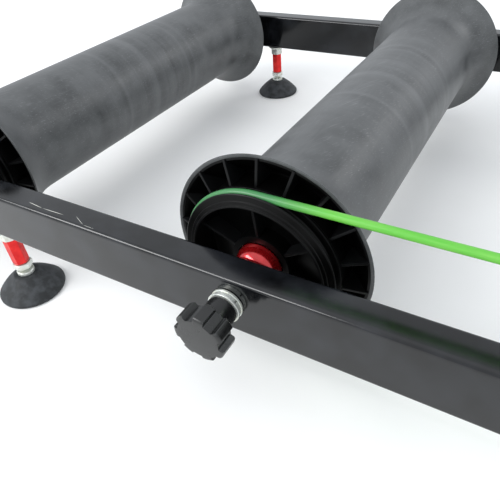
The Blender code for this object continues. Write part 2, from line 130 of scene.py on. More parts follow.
def applied(piece, kind, settings):
    makeActive(piece)
    modifier = piece.modifiers.new(kind.lower(), kind)
    for key, value in settings.items():
        setattr(modifier, key, value)
    bpy.ops.object.modifier_apply(modifier=modifier.name)
    return piece


def cutWith(piece, tool, operation="DIFFERENCE"):
    applied(piece, "BOOLEAN", {"operation": operation, "object": tool})
    bpy.data.objects.remove(tool)
    return piece


def smoothed(piece, degrees=35):
    makeActive(piece)
    bpy.ops.object.shade_smooth_by_angle(angle=math.radians(degrees))
    return piece


def softEdges(piece, width, segments=2, degrees=35):
    # small rounds on the edges, with flat faces kept flat
    applied(piece, "BEVEL", {"width": width * mm, "segments": segments, "limit_method": "ANGLE",
                             "angle_limit": math.radians(degrees)})
    smoothed(piece, 40)
    return applied(piece, "WEIGHTED_NORMAL", {"keep_sharp": True})


def joined(name, pieces):
    makeActive(pieces[0])
    for piece in pieces[1:]:
        piece.select_set(True)
    bpy.ops.object.join()
    bpy.context.object.name = name
    return bpy.context.object


def copied(piece, name, place=Matrix.Identity(4)):
    twin = piece.copy()
    twin.data = piece.data.copy()
    twin.name = name
    bpy.context.collection.objects.link(twin)
    twin.data.transform(place)
    return twin


def copiedAbout(piece, count, start=0.0):
    # copies set evenly round Z, as one list
    return [copied(piece, piece.name + "Copy", Matrix.Rotation(start + math.tau * i / count, 4, "Z"))
            for i in range(count)]


def fitted(piece, node, material):
    piece.data.materials.clear()
    piece.data.materials.append(material)
    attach(piece, bodyWith[node])
    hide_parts(node)
    return piece


def outboard(drum, side, u, turn=0.0):
    # puts a piece's own Z along the axle, u mm outside the rim plane
    centre = axleAt[drum]
    there = Matrix.Translation((centre.x, 0, centre.z)) @ Matrix.Rotation(-turn, 4, "Y")
    outwards = Matrix.Translation((0, side * (rimY + u * mm), 0))
    return there @ outwards @ Matrix.Rotation(-side * math.pi / 2, 4, "X")


# materials

def paint(hexValue):
    # sRGB hex to linear
    channels = []
    for i in (0, 2, 4):
        value = int(hexValue[i:i + 2], 16) / 255
        channels.append(value / 12.92 if value <= 0.04045 else ((value + 0.055) / 1.055) ** 2.4)
    return (*channels, 1.0)


def per(size):
    # texture scale for a pattern of this size in mm
    return 1 / (size * mm)


def addNode(tree, kind, settings=None, links=None):
    node = tree.nodes.new(kind)
    for key, value in (settings or {}).items():
        if isinstance(key, str) and hasattr(node, key):
            setattr(node, key, value)
        else:
            node.inputs[key].default_value = value
    for key, source in (links or {}).items():
        tree.links.new(source, node.inputs[key])
    return node


def startMaterial(name, settings):
    material = bpy.data.materials.new(name)
    material.use_nodes = True
    tree = material.node_tree
    shader = tree.nodes["Principled BSDF"]
    for key, value in settings.items():
        shader.inputs[key].default_value = value
    where = addNode(tree, "ShaderNodeTexCoord").outputs["Object"]
    return material, tree, shader, where


def noiseOf(tree, where, size, detail=3.0, stretch=(1, 1, 1)):
    # noise of this size in mm, drawn out along an axis by stretch
    scale = tuple(1 / s for s in stretch)
    mapped = addNode(tree, "ShaderNodeMapping", {"Scale": scale}, {"Vector": where})
    return addNode(tree, "ShaderNodeTexNoise", {"Scale": per(size), "Detail": detail},
                   {"Vector": mapped.outputs["Vector"]}).outputs["Fac"]


def spread(tree, value, low, high, toLow, toHigh):
    return addNode(tree, "ShaderNodeMapRange", {"From Min": low, "From Max": high, "To Min": toLow,
                                                "To Max": toHigh}, {"Value": value}).outputs["Result"]


def blended(tree, factor, first, second):
    # colours given as sRGB hex or as a socket
    settings, links = {"data_type": "RGBA"}, {0: factor}
    for key, colour in ((6, first), (7, second)):
        if isinstance(colour, str):
            settings[key] = paint(colour)
        else:
            links[key] = colour
    return addNode(tree, "ShaderNodeMix", settings, links).outputs[2]


def bumped(tree, shader, height, depth, strength=1.0):
    bump = addNode(tree, "ShaderNodeBump", {"Strength": strength, "Distance": depth * mm}, {"Height": height})
    tree.links.new(bump.outputs["Normal"], shader.inputs["Normal"])


enamel = {
    "colour": "0a0b0d", "dustAndShade": "1e2024", "scuff": "d9d8cf",
    "roughness": (0.11, 0.20), "orangePeel": 3.0, "peelDepth": 0.004, "dustPatch": 26.0,
    # each scuff on the near rail's top: middle x, y and z, length and width in mm, turn in degrees
    "scuffs": [(-449.7, -231.2, 105, 15.5, 0.26, -5.2), (-432.3, -231.6, 105, 21.0, 0.24, 1.4),
               (-408.2, -231.4, 105, 12.8, 0.14, -24.0), (-397.6, -234.1, 105, 10.0, 0.12, -1.2)],
}


def glossEnamel():
    # stove enamel sprayed on steel tube: a wet black gloss with faint orange peel, dust and a few scuffs
    material, tree, shader, where = startMaterial("glossEnamel", {"IOR": 1.5})
    dust = noiseOf(tree, where, enamel["dustPatch"], 6)
    colour = blended(tree, spread(tree, dust, 0.42, 0.68, 0, 1), enamel["colour"], enamel["dustAndShade"])
    speck = noiseOf(tree, where, 0.9, 2)
    for x, y, z, length, width, turn in enamel["scuffs"]:
        near = addNode(tree, "ShaderNodeMapping", {
            "vector_type": "TEXTURE", "Location": (x * mm, y * mm, z * mm),
            "Rotation": (0, 0, math.radians(turn)), "Scale": (length / 2 * mm, width * mm, 1 * mm)},
            {"Vector": where})
        ball = addNode(tree, "ShaderNodeTexGradient", {"gradient_type": "SPHERICAL"},
                       {"Vector": near.outputs["Vector"]}).outputs["Fac"]
        worn = addNode(tree, "ShaderNodeMath", {"operation": "MULTIPLY"},
                       {0: spread(tree, ball, 0.02, 0.35, 0, 1), 1: spread(tree, speck, 0.25, 0.5, 0.5, 1)})
        colour = blended(tree, worn.outputs["Value"], colour, enamel["scuff"])
    tree.links.new(colour, shader.inputs["Base Color"])
    low, high = enamel["roughness"]
    tree.links.new(spread(tree, dust, 0.3, 0.7, low, high), shader.inputs["Roughness"])
    bumped(tree, shader, noiseOf(tree, where, enamel["orangePeel"], 1), enamel["peelDepth"])
    return material


mouldedCap = {"colour": "030303", "edge": "161718", "specular": 0.13, "roughness": (0.30, 0.42), "grain": 0.7,
              "grainDepth": 0.006}


def mouldedNylon():
    # glass-filled nylon, injection moulded: deep black, a fine grain and slightly paler worn edges
    material, tree, shader, where = startMaterial("mouldedNylon", {
        "IOR": 1.53, "Specular IOR Level": mouldedCap["specular"]})
    corner = addNode(tree, "ShaderNodeNewGeometry").outputs["Pointiness"]
    patch = noiseOf(tree, where, 14, 3)
    worn = addNode(tree, "ShaderNodeMath", {"operation": "MULTIPLY"},
                   {0: spread(tree, corner, 0.51, 0.60, 0, 1), 1: spread(tree, patch, 0.3, 0.7, 0.5, 1)})
    tree.links.new(blended(tree, worn.outputs["Value"], mouldedCap["colour"], mouldedCap["edge"]),
                   shader.inputs["Base Color"])
    low, high = mouldedCap["roughness"]
    tree.links.new(spread(tree, patch, 0.3, 0.7, low, high), shader.inputs["Roughness"])
    bumped(tree, shader, noiseOf(tree, where, mouldedCap["grain"], 2), mouldedCap["grainDepth"])
    return material


# edge is the painted highlight grey laid on the knob's corners
mouldedKnob = {"colour": "0b0c0c", "edge": "333535", "roughness": (0.20, 0.30), "grain": 0.5,
               "grainDepth": 0.012}


def mouldedPhenolic():
    # phenolic moulding: satin black, with a painted highlight on its corners, lightened grey where light
    # skims the bevels
    material, tree, shader, where = startMaterial("mouldedPhenolic", {"IOR": 1.55})
    corner = addNode(tree, "ShaderNodeNewGeometry").outputs["Pointiness"]
    # painted highlight: corners found by pointiness are lightened towards the edge grey
    tree.links.new(blended(tree, spread(tree, corner, 0.52, 0.62, 0, 1), mouldedKnob["colour"],
                           mouldedKnob["edge"]), shader.inputs["Base Color"])
    low, high = mouldedKnob["roughness"]
    tree.links.new(spread(tree, noiseOf(tree, where, 6, 3), 0.3, 0.7, low, high), shader.inputs["Roughness"])
    bumped(tree, shader, noiseOf(tree, where, mouldedKnob["grain"], 2), mouldedKnob["grainDepth"])
    return material


drumTube = {"colour": "3c3e3f", "pale": "5a5c5d", "scuff": "7a7c7e", "roughness": (0.36, 0.52),
            "drawLine": 2.2, "speck": 0.8, "speckDepth": 0.010, "tyreBand": 14.0, "tyreReach": 105.0,
            "scratch": (0.7, 60, 24)}


def drawnPvc():
    # hard PVC tube: a dull grey skin with soft mottling, faint slanting scratches and rings rubbed by tyres
    material, tree, shader, where = startMaterial("drawnPvc", {"IOR": 1.52})
    line = noiseOf(tree, where, drumTube["drawLine"], 3, (1, 12, 1))
    cloud = noiseOf(tree, where, 24, 8)
    across = addNode(tree, "ShaderNodeSeparateXYZ", links={"Vector": where}).outputs["Y"]
    flat = addNode(tree, "ShaderNodeCombineXYZ", links={"Y": across}).outputs["Vector"]
    ring = noiseOf(tree, flat, drumTube["tyreBand"], 3)
    reach = addNode(tree, "ShaderNodeMath", {"operation": "ABSOLUTE"}, {0: across}).outputs["Value"]
    inside = spread(tree, reach, drumTube["tyreReach"] * mm * 0.6, drumTube["tyreReach"] * mm, 1, 0)
    tone = blended(tree, spread(tree, cloud, 0.3, 0.7, 0, 1), drumTube["colour"], drumTube["pale"])
    rubbed = addNode(tree, "ShaderNodeMath", {"operation": "MULTIPLY"},
                     {0: spread(tree, ring, 0.45, 0.7, 0, 0.32), 1: inside}).outputs["Value"]
    tone = blended(tree, rubbed, tone, drumTube["scuff"])
    tone = blended(tree, spread(tree, line, 0.5, 0.8, 0, 0.45), tone, drumTube["pale"])
    width, long, slant = drumTube["scratch"]
    leaning = addNode(tree, "ShaderNodeMapping", {"Rotation": (0, 0, math.radians(slant))}, {"Vector": where})
    hair = noiseOf(tree, leaning.outputs["Vector"], width, 2, (1, long, 1))
    tree.links.new(blended(tree, spread(tree, hair, 0.60, 0.76, 0, 0.6), tone, drumTube["scuff"]),
                   shader.inputs["Base Color"])
    low, high = drumTube["roughness"]
    tree.links.new(spread(tree, cloud, 0.3, 0.7, low, high), shader.inputs["Roughness"])
    bumped(tree, shader, noiseOf(tree, where, drumTube["speck"], 3), drumTube["speckDepth"])
    return material


anodised = {"colour": "d21f24", "deep": "ab1218", "coat": 1.0, "roughness": (0.16, 0.22), "lathe": 0.35,
            "latheDepth": 0.0015}


def redAnodised():
    # red anodised aluminium, turned and dyed: a clear metallic red with very fine tool lines
    material, tree, shader, where = startMaterial("redAnodised", {
        "Metallic": 0.7, "Coat Weight": anodised["coat"], "Coat Roughness": 0.06})
    cloud = noiseOf(tree, where, 9, 3)
    tree.links.new(blended(tree, spread(tree, cloud, 0.3, 0.7, 0, 1), anodised["colour"], anodised["deep"]),
                   shader.inputs["Base Color"])
    low, high = anodised["roughness"]
    tree.links.new(spread(tree, cloud, 0.3, 0.7, low, high), shader.inputs["Roughness"])
    bumped(tree, shader, noiseOf(tree, where, anodised["lathe"], 1, (8, 1, 8)), anodised["latheDepth"])
    return material


barrelled = {"colour": "ea3734", "deep": "cf2426", "roughness": (0.30, 0.38), "grain": 0.3,
             "grainDepth": 0.004}


def tumbledRedAnodised():
    # the same dye on a tumbled hexagon bar: satin, so its faces stay evenly bright
    material, tree, shader, where = startMaterial("tumbledRedAnodised", {"Metallic": 0.75})
    cloud = noiseOf(tree, where, 7, 3)
    tree.links.new(blended(tree, spread(tree, cloud, 0.3, 0.7, 0, 1), barrelled["colour"], barrelled["deep"]),
                   shader.inputs["Base Color"])
    low, high = barrelled["roughness"]
    tree.links.new(spread(tree, cloud, 0.3, 0.7, low, high), shader.inputs["Roughness"])
    bumped(tree, shader, noiseOf(tree, where, barrelled["grain"], 2), barrelled["grainDepth"])
    return material


zinc = {"colour": "dfe3de", "warm": "d0cfbf", "roughness": (0.24, 0.34), "spangle": 7.0, "grainDepth": 0.0006}


def zincPlate():
    # bright zinc plate on steel: silvery, a little warm in patches where the passivation is thicker
    material, tree, shader, where = startMaterial("zincPlate", {"Metallic": 0.6})
    cloud = noiseOf(tree, where, zinc["spangle"], 4)
    tree.links.new(blended(tree, spread(tree, cloud, 0.45, 0.75, 0, 1), zinc["colour"], zinc["warm"]),
                   shader.inputs["Base Color"])
    low, high = zinc["roughness"]
    tree.links.new(spread(tree, cloud, 0.3, 0.7, low, high), shader.inputs["Roughness"])
    bumped(tree, shader, noiseOf(tree, where, 0.4, 2), zinc["grainDepth"])
    return material


ground = {"colour": "a9abae", "dark": "8b8d91", "roughness": (0.18, 0.28)}


def groundSteel():
    # bearing steel, ground bright, with a film of oil that darkens it in patches
    material, tree, shader, where = startMaterial("groundSteel", {"Metallic": 1.0})
    film = noiseOf(tree, where, 5, 3)
    tree.links.new(blended(tree, spread(tree, film, 0.35, 0.7, 0, 1), ground["colour"], ground["dark"]),
                   shader.inputs["Base Color"])
    low, high = ground["roughness"]
    tree.links.new(spread(tree, film, 0.3, 0.7, low, high), shader.inputs["Roughness"])
    bumped(tree, shader, noiseOf(tree, where, 0.3, 1), 0.002)
    return material


# the cord's third colour is painted shade, laid where the belt wraps the middle pulley
cord = {"colour": "53b032", "rubbed": "72bb4c", "dustAndShade": "3d7f4a", "pulley": 45.0, "fade": 35.0,
        "roughness": (0.34, 0.46), "grain": 1.2, "grainDepth": 0.012, "glow": 0.12, "glowDepth": 2.0}


def castPolyurethane():
    # bright green polyurethane cord: satin, a little light goes into it, with painted shade where it wraps
    # the middle pulley
    material, tree, shader, where = startMaterial("castPolyurethane", {
        "IOR": 1.5, "Subsurface Weight": cord["glow"], "Subsurface Radius": (0.4, 1.0, 0.3),
        "Subsurface Scale": cord["glowDepth"] * mm})
    along = noiseOf(tree, where, 2.2, 3, (14, 1, 1))
    tone = blended(tree, spread(tree, along, 0.35, 0.75, 0, 1), cord["colour"], cord["rubbed"])
    # painted shade: the belt darkens towards the third colour over the middle pulley, fading out across the
    # fade length
    onPulley = addNode(tree, "ShaderNodeSeparateXYZ", links={"Vector": where}).outputs["X"]
    leaves = axleAt["middle"].x + cord["pulley"] * mm
    pulleyShade = spread(tree, onPulley, leaves - cord["fade"] * mm, leaves, 1, 0)
    tree.links.new(blended(tree, pulleyShade, tone, cord["dustAndShade"]), shader.inputs["Base Color"])
    low, high = cord["roughness"]
    tree.links.new(spread(tree, along, 0.3, 0.7, low, high), shader.inputs["Roughness"])
    bumped(tree, shader, noiseOf(tree, where, cord["grain"], 2), cord["grainDepth"])
    return material


footRubber = {"colour": "1f2224", "dustAndShade": "404346", "roughness": (0.62, 0.80), "grain": 0.9,
              "grainDepth": 0.030}


def mouldedRubber():
    # moulded natural rubber: dark grey and matt, with a pebbled skin that holds pale dust
    material, tree, shader, where = startMaterial("mouldedRubber", {"IOR": 1.5})
    dust = noiseOf(tree, where, 7, 6)
    tone = blended(tree, spread(tree, dust, 0.4, 0.65, 0, 1), footRubber["colour"], footRubber["dustAndShade"])
    tree.links.new(tone, shader.inputs["Base Color"])
    low, high = footRubber["roughness"]
    tree.links.new(spread(tree, dust, 0.3, 0.7, low, high), shader.inputs["Roughness"])
    bumped(tree, shader, noiseOf(tree, where, footRubber["grain"], 3), footRubber["grainDepth"])
    return material


looks = {"enamel": glossEnamel(), "nylon": mouldedNylon(), "phenolic": mouldedPhenolic(), "pvc": drawnPvc(),
         "dome": redAnodised(), "coupler": tumbledRedAnodised(), "zinc": zincPlate(), "steel": groundSteel(),
         "cord": castPolyurethane(), "rubber": mouldedRubber()}
print("materials made:", len(looks))


# drums

drum = {"rim": 67.0, "waist": 46.2, "flare": 42.0, "power": 2.5, "wall": 2.2, "rings": 18, "steps": 128}


def flareRadius(distance):
    rise = max(0.0, 1 - distance / drum["flare"]) ** drum["power"]
    return drum["waist"] + (drum["rim"] - drum["waist"]) * rise


def buildDrumShell():
    half = rimY / mm
    stations = [drum["flare"] * (i / drum["rings"]) ** 1.4 for i in range(drum["rings"] + 1)]
    outer = [(flareRadius(s), half - s) for s in stations]
    outer += [(radius, -height) for radius, height in reversed(outer)]
    inner = [(radius - drum["wall"], height) for radius, height in reversed(outer)]
    shell = turned("drumShell", outer + inner, drum["steps"])
    return softEdges(shell, 0.7, 3, 50)


shell = buildDrumShell()
for name in axleAt:
    centre = Matrix.Translation((axleAt[name].x, 0, axleAt[name].z))
    upright = Matrix.Rotation(-math.pi / 2, 4, "X")
    piece = copied(shell, name + "DrumShell", centre @ upright)
    fitted(piece, name + "_drum_shell", looks["pvc"])
bpy.data.objects.remove(shell)
print("drums made")


# end caps: heights are mm outside the drum's rim plane

cap = {
    "lip": 1.6, "depth": 14.0, "floor": -12.0, "seat": -0.2,
    "ribs": 18, "ribThickness": 1.8, "ribStart": 10.0, "ribHigh": 4.9, "ribLow": 0.6, "ribFoot": 48.6,
    "spokes": 6, "spokeStart": 30.0, "spokeHigh": 11.8,
    "ringInner": 39.0, "ringOuter": 49.6, "ringLean": 3.6, "ringFront": 17.3,
    "beltU": 11.5, "beltRadius": 2.4, "seatRadius": 49.0, "grooveRound": 3.0,
    "backCrest": 50.6, "frontCrest": 50.3, "ringSteps": ((1.2, 0.9), (3.4, 1.6)),
    "hub": 19.2, "hubFront": 10.8, "recess": 0.5, "bearing": 15.3, "bearingStop": 7.5, "steps": 112,
}


def capOuter(distance):
    return flareRadius(distance) - drum["wall"] - clearance


def groove():
    # round bottom of the belt's groove, front to back
    corners = []
    for i in range(9):
        angle = math.radians(55 - 110 * i / 8)
        corners.append((cap["seatRadius"] - cap["grooveRound"] * math.cos(angle),
                        cap["beltU"] + cap["grooveRound"] * math.sin(angle)))
    return corners


def plate(name, outline, thickness):
    # a thin upright plate with its (radius, height) outline, from one side of the XZ plane to the other
    piece = drawOutline(name, [(radius, -thickness / 2, height) for radius, height in outline])
    bpy.ops.mesh.edge_face_add()
    bpy.ops.mesh.extrude_region_move(TRANSFORM_OT_translate={"value": (0, thickness * mm, 0)})
    bpy.ops.mesh.select_all(action="SELECT")
    bpy.ops.mesh.normals_make_consistent(inside=False)
    bpy.ops.object.mode_set(mode="OBJECT")
    return softEdges(piece, 0.35, 2)


def buildEndCap():
    inner, front = cap["ringInner"], cap["ringFront"]
    wallSteps = [cap["depth"] * i / 5 for i in range(6)]
    body = [(cap["bearingStop"], -3.0), (cap["bearingStop"], 0.7), (cap["bearing"], 0.7),
            (cap["bearing"], cap["hubFront"]), (cap["hub"], cap["hubFront"]),
            (cap["hub"] + 0.6, cap["recess"]), (inner, cap["recess"]), (inner + cap["ringLean"], front)]
    drop = 0.1
    for out, lower in cap["ringSteps"]:
        here = inner + cap["ringLean"] + out
        body += [(here, front - drop), (here + 0.25, front - lower)]
        drop = lower + 0.1
    body += [(cap["frontCrest"] - 0.6, front - drop - 0.1), (cap["frontCrest"], 14.9),
             (cap["frontCrest"], 14.5)]
    body += groove()
    body += [(cap["backCrest"], 8.4), (cap["backCrest"], 6.6), (cap["ringOuter"], 5.4),
             (cap["ringOuter"], cap["floor"]), (capOuter(-cap["floor"]) - cap["lip"], cap["floor"]),
             (capOuter(0) - cap["lip"], cap["seat"])]
    body += [(capOuter(s), cap["seat"] - s) for s in wallSteps]
    body += [(inner + 1.0, cap["seat"] - cap["depth"]), (inner - 3.0, -3.0)]
    dish = softEdges(turned("endCap", body, cap["steps"]), 0.4, 2, 30)
    deep = cap["floor"] - 1
    base, wide, thick = cap["ribFoot"], capOuter(0), cap["ribThickness"]
    rib = plate("rib", [(base, cap["ribHigh"]), (wide - 0.2, cap["ribLow"]), (wide - 0.3, cap["seat"] - 0.5),
                        (capOuter(5) - 0.6, -5.2), (capOuter(12) - 0.8, deep), (base, deep)], thick)
    root, low = cap["hub"] - 1, cap["recess"] - 1
    spoke = plate("spoke", [(root, cap["hubFront"] - 0.8), (inner + 3.0, cap["spokeHigh"]), (inner + 1, low),
                            (root, low)], thick)
    pieces = [dish] + copiedAbout(rib, cap["ribs"], math.radians(cap["ribStart"]))
    pieces += copiedAbout(spoke, cap["spokes"], math.radians(cap["spokeStart"]))
    bpy.data.objects.remove(rib)
    bpy.data.objects.remove(spoke)
    return joined("endCap", pieces)


# bearing and hub dome

bearing = {"bore": 5.3, "inner": 7.5, "outer": 15.0, "land": 12.6, "low": 1.0, "high": 10.0, "shield": 0.4}
dome = {"bore": 5.3, "nose": 8.0, "wide": 14.6, "foot": 10.3, "base": 11.1, "height": 11.0, "rings": 26}


def buildBearing():
    low, high, deep = bearing["low"], bearing["high"], bearing["shield"]
    return softEdges(turned("bearing", [
        (bearing["bore"], low), (bearing["inner"], low), (bearing["inner"], low + deep),
        (bearing["land"], low + deep), (bearing["land"], low), (bearing["outer"], low),
        (bearing["outer"], high), (bearing["land"], high), (bearing["land"], high - deep),
        (bearing["inner"], high - deep), (bearing["inner"], high), (bearing["bore"], high)], 64), 0.15)


def buildDome():
    end = railInnerU - clearance
    rounded = []
    for i in range(dome["rings"] + 1):
        angle = math.radians(84 * i / dome["rings"])
        rounded.append((dome["nose"] + (dome["wide"] - dome["nose"]) * math.cos(angle),
                        dome["base"] + dome["height"] * math.sin(angle)))
    bore, nose = dome["bore"], dome["nose"]
    outline = [(bore, dome["foot"]), (nose, dome["foot"]), (nose, dome["base"])]
    outline += rounded + [(nose, dome["base"] + dome["height"]), (nose, end), (bore, end)]
    return smoothed(turned("hubDome", outline, 128), 40)


capModel, bearingModel, domeModel = buildEndCap(), buildBearing(), buildDome()
for name in axleAt:
    for sideName, side in sides.items():
        tag = sideName.capitalize()
        spinning, still = outboard(name, side, 0, drumTurn), outboard(name, side, 0)
        fitted(copied(capModel, name + "EndCap" + tag, spinning), "%s_end_cap_%s" % (name, sideName),
               looks["nylon"])
        fitted(copied(bearingModel, name + "Bearing" + tag, spinning), "%s_bearing_%s" % (name, sideName),
               looks["steel"])
        fitted(copied(domeModel, name + "HubDome" + tag, still), "%s_hub_spacer_%s" % (name, sideName),
               looks["dome"])
for model in (capModel, bearingModel, domeModel):
    bpy.data.objects.remove(model)
print("end caps, bearings and hub domes made")


# threads, nuts and axles

axleThread = {"pitch": 1.5, "crest": 5.0, "root": 4.1, "steps": 40}


def threaded(name, low, high, thread):
    # a true helix: one turn of a toothed line that climbs by its own pitch, cut flat at both ends
    pitch, root, crest = thread["pitch"], thread["root"], thread["crest"]
    corners = []
    for turn in range(math.ceil((high - low) / pitch) + 3):
        start = low + (turn - 2) * pitch
        corners += [(root, 0, start), (root, 0, start + 0.10 * pitch), (crest, 0, start + 0.48 * pitch),
                    (crest, 0, start + 0.60 * pitch)]
    piece = drawOutline(name, corners, closed=False)
    bpy.ops.object.mode_set(mode="OBJECT")
    applied(piece, "SCREW", {
        "screw_offset": pitch * mm, "steps": thread["steps"], "render_steps": thread["steps"],
        "angle": math.tau, "axis": "Z", "use_merge_vertices": False})
    bpy.ops.object.mode_set(mode="EDIT")
    bpy.ops.mesh.select_all(action="SELECT")
    bpy.ops.mesh.remove_doubles(threshold=0.004 * mm)
    for height, up in ((low, True), (high, False)):
        bpy.ops.mesh.select_all(action="SELECT")
        bpy.ops.mesh.bisect(plane_co=(0, 0, height * mm), plane_no=(0, 0, 1), use_fill=True,
                            clear_inner=up, clear_outer=not up)
    bpy.ops.mesh.select_all(action="SELECT")
    bpy.ops.mesh.normals_make_consistent(inside=False)
    bpy.ops.object.mode_set(mode="OBJECT")
    return smoothed(piece, 25)


def hexagon(acrossFlats):
    corner = acrossFlats / math.sqrt(3)
    turns = [math.radians(60 * i) for i in range(6)]
    return [(corner * math.cos(turn), corner * math.sin(turn)) for turn in turns]


def hexBar(name, acrossFlats, low, high, bore=None):
    # hexagon bar turned down at its corners, then drilled and countersunk
    bar = raised(name, hexagon(acrossFlats), low, [(high, 1.0)])
    corner = acrossFlats / math.sqrt(3) + 0.3
    shoulder = acrossFlats * 0.475
    drop = (corner - shoulder) * math.tan(math.radians(28))
    cutWith(bar, turned("barrel", [(0, low), (shoulder, low), (corner, low + drop), (corner, high - drop),
                                   (shoulder, high), (0, high)], 72), "INTERSECT")
    if bore:
        wide = bore + 1.4
        cutWith(bar, turned("drill", [(0, low - 1), (wide, low - 1), (bore, low + 0.4), (bore, high - 0.4),
                                      (wide, high + 1), (0, high + 1)], 48))
    return softEdges(bar, 0.18, 2, 25)


axle = {"radius": 5.0, "smoothTo": 214.0, "nutHeight": 8.0, "nutFlats": 17.0, "proud": 2.5, "inKnob": 11.5}
washers = {"stack": 5.0, "radius": 10.0, "bore": 5.4, "slitTurn": 40.0}


def buildAxle(half):
    smooth, radius = axle["smoothTo"], axle["radius"]
    rod = turned("axle", [(0, -smooth), (radius, -smooth), (radius, smooth), (0, smooth)], 48, False)
    softEdges(rod, 0.4)
    end = threaded("axleThread", smooth - 1, half, axleThread)
    other = copied(end, "otherThread", Matrix.Rotation(math.pi, 4, "X"))
    return joined("axle", [rod, end, other])


nutModel = hexBar("axleNut", axle["nutFlats"], 0, axle["nutHeight"], 5.1)
railU = (railOuterY - rimY) / mm + clearance
plainHalf = railOuterY / mm + axle["nutHeight"] + clearance + axle["proud"]
knobHalf = railOuterY / mm + axle["inKnob"] + washers["stack"] + 2 * clearance
plainAxle, knobAxle = buildAxle(plainHalf), buildAxle(knobHalf)
for name in axleAt:
    centre = Matrix.Translation((axleAt[name].x, 0, axleAt[name].z)) @ Matrix.Rotation(-math.pi / 2, 4, "X")
    model = knobAxle if name == "middle" else plainAxle
    fitted(copied(model, name + "Axle", centre), name + "_axle", looks["zinc"])
    if name != "middle":
        for sideName, side in sides.items():
            nut = copied(nutModel, name + "AxleNut" + sideName.capitalize(), outboard(name, side, railU))
            fitted(nut, "%s_axle_nut_%s" % (name, sideName), looks["zinc"])
for model in (nutModel, plainAxle, knobAxle):
    bpy.data.objects.remove(model)
print("axles and nuts made")


# clamp knobs and their washers

knob = {"neck": 9.0, "neckLength": 12.0, "bore": 5.35, "headLength": 12.0, "tip": 15.7, "waist": 12.7,
        "lobes": 7, "start": 30.0, "tipShare": 0.21, "fluteShare": 0.28, "steps": 32, "face": 0.35}


def lobedOutline():
    # flat-bottomed flutes between blunt tips, with short rounds where they meet
    corners = []
    pitch = math.tau / knob["lobes"]
    count = knob["lobes"] * knob["steps"]
    for i in range(count):
        angle = math.tau * i / count
        share = abs((angle / pitch + 0.5) % 1 - 0.5)
        slope = (share - knob["tipShare"]) / (knob["fluteShare"] - knob["tipShare"])
        slope = min(1.0, max(0.0, slope))
        blend = slope * slope * (3 - 2 * slope)
        radius = knob["tip"] + (knob["waist"] - knob["tip"]) * blend
        turn = angle + math.radians(knob["start"])
        corners.append((radius * math.cos(turn), radius * math.sin(turn)))
    return corners


def buildKnob():
    # a turned blank with a barely domed face, its flutes cut by a lobed prism
    low = knob["neckLength"]
    high = low + knob["headLength"]
    tip, face = knob["tip"], knob["face"]
    rises = [math.radians(degrees) for degrees in range(30, 90, 12)]
    crown = [(tip * math.cos(rise), high + face * (math.sin(rise) - 0.1)) for rise in rises]
    blank = [(0, low), (tip - 0.8, low), (tip, low + 0.8), (tip, high - 1.4), (tip - 0.4, high - 0.5),
             (tip - 1.2, high)]
    head = turned("knobHead", blank + crown + [(0, high + 0.9 * face)], 112, False)
    cutWith(head, raised("lobes", lobedOutline(), low - 1, [(high + 2, 1.0)]), "INTERSECT")
    softEdges(head, 0.2, 2, 40)
    neck = turned("knobNeck", [(knob["bore"], 0), (knob["neck"] - 0.1, 0), (knob["neck"], 0.5),
                               (knob["neck"] + 0.1, low - 2.5), (knob["neck"] + 0.7, low - 1.0),
                               (knob["waist"] - 1.0, low + 0.5), (knob["bore"], low + 0.5)], 64)
    softEdges(neck, 0.3)
    return joined("clampKnob", [head, neck])


def buildWashers():
    # plain washer, split spring washer, plain washer
    bore, wide = washers["bore"], washers["radius"]
    rings = []
    for low, high, radius in ((0, 1.5, wide), (1.55, 3.45, wide - 0.5), (3.5, 5.0, wide)):
        ring = turned("washer", [(bore, low), (radius, low), (radius, high), (bore, high)], 64)
        if radius < wide:
            slit = raised("slit", [(4, -0.5), (12, -0.5), (12, 0.5), (4, 0.5)], low - 1, [(high + 1, 1.0)])
            slit.data.transform(Matrix.Rotation(math.radians(washers["slitTurn"]), 4, "Z"))
            cutWith(ring, slit)
        rings.append(softEdges(ring, 0.28, 3))
    return joined("washers", rings)


knobModel, washerModel = buildKnob(), buildWashers()
for sideName, side in sides.items():
    tag = sideName.capitalize()
    fitted(copied(washerModel, "knobWashers" + tag, outboard("middle", side, railU)),
           "knob_washers_" + sideName, looks["zinc"])
    knobU = railU + washers["stack"] + clearance
    fitted(copied(knobModel, "clampKnob" + tag, outboard("middle", side, knobU)),
           "clamp_knob_" + sideName, looks["phenolic"])
bpy.data.objects.remove(knobModel)
bpy.data.objects.remove(washerModel)
print("clamp knobs made")


# side rails and their plugs

rail = {"corner": 2.8, "rounds": 8, "wall": 1.5, "axleHole": 5.3, "footHole": 4.3}
plug = {"flange": 3.0, "depth": 12.0, "corner": 2.8}


def pickEdges(piece, wanted):
    makeActive(piece)
    bpy.ops.object.mode_set(mode="EDIT")
    bpy.ops.mesh.select_mode(type="EDGE")
    bpy.ops.mesh.select_all(action="DESELECT")
    bpy.ops.object.mode_set(mode="OBJECT")
    for edge in piece.data.edges:
        first, second = (piece.data.vertices[i].co for i in edge.vertices)
        edge.select = wanted(first, second)
    bpy.ops.object.mode_set(mode="EDIT")


